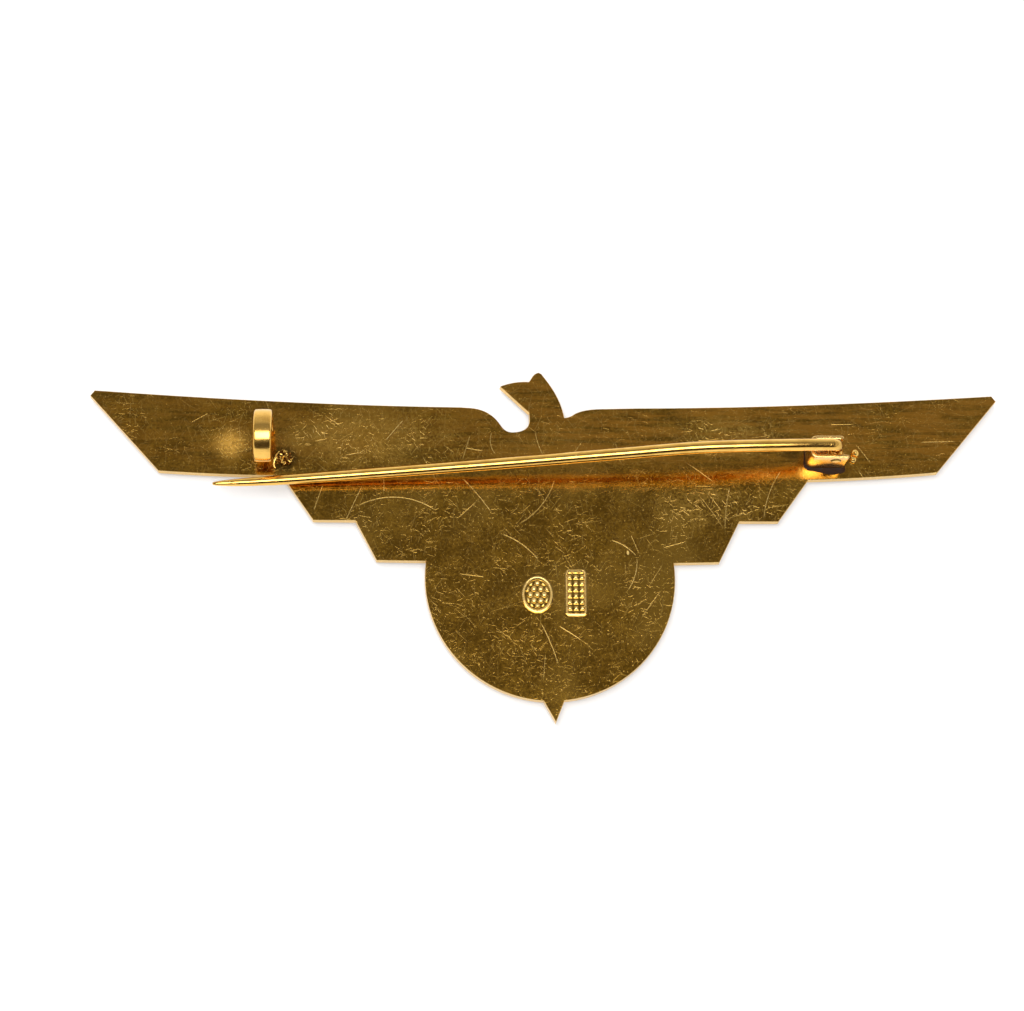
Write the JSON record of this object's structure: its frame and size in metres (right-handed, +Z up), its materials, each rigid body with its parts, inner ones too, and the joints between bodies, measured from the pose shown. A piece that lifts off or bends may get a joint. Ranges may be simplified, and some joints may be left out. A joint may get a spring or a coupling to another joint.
{
  "type": "pilot wings pin",
  "caption": "Gold pilot wings brooch shown from its back: stepped wings, bird's head and round disc, with a hinged wire pin and an open hook catch.",
  "frame": {"origin": "on the table under the middle of the badge's outline, with the badge lying face down", "axes": "+Z up, out of the back of the badge; +X along the wing span towards the hinge; +Y towards the bird's head"},
  "size_m": [0.07, 0.0274, 0.0059],
  "materials": {
    "sheet_gold": "satin",
    "fitting_gold": "polished",
    "relief_gold": "satin",
    "solder": "matte",
    "enamel": "gloss"
  },
  "bodies": {
    "badge": {"backing_plate": "sheet_gold", "hinge_side_wing_relief": "relief_gold", "catch_side_wing_relief": "relief_gold", "head_relief": "relief_gold", "tail_relief": "relief_gold", "roundel_bezel": "relief_gold", "roundel_enamel": "enamel", "roundel_star": "relief_gold", "hinge_box": "fitting_gold", "hinge_rivet": "fitting_gold", "hinge_solder_1": "solder", "hinge_solder_2": "solder", "catch_hook": "fitting_gold", "catch_solder": "solder"},
    "knuckle": {"pin_knuckle": "fitting_gold"},
    "stem": {"pin_stem": "fitting_gold"}
  },
  "joints": [
    {"name": "pin_swing", "type": "hinge", "parent": "badge", "child": "knuckle", "pos_m": [0.0218, 0.00697, 0.00312], "axis": [0, 1, 0], "range_deg": [0, 105]},
    {"name": "wire_spring", "type": "hinge", "parent": "knuckle", "child": "stem", "pos_m": [0.0218, 0.00697, 0.00456], "axis": [0, 0, -1], "range_deg": [0, 3.6], "stiffness_Nm_per_rad": 0.015}
  ]
}
